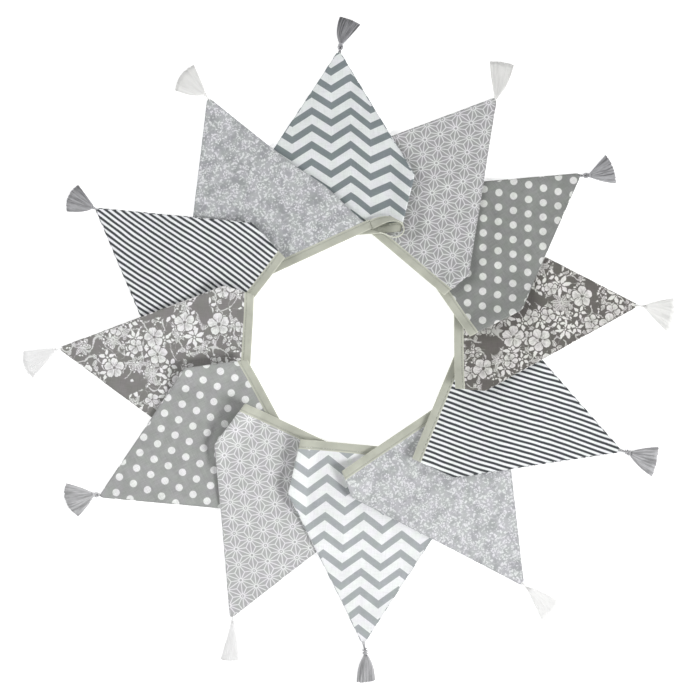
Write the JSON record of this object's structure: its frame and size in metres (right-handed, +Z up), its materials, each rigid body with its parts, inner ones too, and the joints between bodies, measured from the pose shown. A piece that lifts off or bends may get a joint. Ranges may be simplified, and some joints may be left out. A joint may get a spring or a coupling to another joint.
{
  "type": "fabric bunting",
  "caption": "String of triangular cotton pennants on sage bias tape, each with a yarn tassel at its point, laid flat as an overlapping ring.",
  "frame": {"origin": "middle of the laid ring's box, on the surface it lies on", "axes": "+Z up, square to the surface; +Y towards the first chevron pennant; the string runs clockwise seen from above"},
  "size_m": [0.6584, 0.6634, 0.0208],
  "materials": {
    "chevron_cotton": "grey and white chevron print on plain-weave cotton",
    "hemp_leaf_cotton": "pale hemp-leaf lattice on mid-grey plain-weave cotton",
    "dots_cotton": "white dots on grey plain-weave cotton",
    "large_floral_cotton": "white flowers and leaves on taupe-grey plain-weave cotton",
    "stripes_cotton": "narrow charcoal and white stripes on plain-weave cotton",
    "small_floral_cotton": "small white sprigs on light-grey plain-weave cotton",
    "bias_tape": "folded sage-green cotton bias tape, stitched",
    "grey_yarn": "matt grey cotton yarn",
    "white_yarn": "matt off-white cotton yarn"
  },
  "bodies": {
    "root": {"pennant_01_chevron": "chevron_cotton", "pennant_02_hemp_leaf": "hemp_leaf_cotton", "pennant_03_dots": "dots_cotton", "pennant_04_large_floral": "large_floral_cotton", "pennant_05_stripes": "stripes_cotton", "pennant_06_small_floral": "small_floral_cotton", "pennant_07_chevron": "chevron_cotton", "pennant_08_hemp_leaf": "hemp_leaf_cotton", "pennant_09_dots": "dots_cotton", "pennant_10_large_floral": "large_floral_cotton", "pennant_11_stripes": "stripes_cotton", "pennant_12_small_floral": "small_floral_cotton", "tassel_01_grey": "grey_yarn", "tassel_02_white": "white_yarn", "tassel_03_grey": "grey_yarn", "tassel_04_white": "white_yarn", "tassel_05_grey": "grey_yarn", "tassel_06_white": "white_yarn", "tassel_07_grey": "grey_yarn", "tassel_08_white": "white_yarn", "tassel_09_grey": "grey_yarn", "tassel_10_white": "white_yarn", "tassel_11_grey": "grey_yarn", "tassel_12_white": "white_yarn", "binding_tape": "bias_tape", "hanging_loop": "bias_tape"}
  },
  "joints": []
}
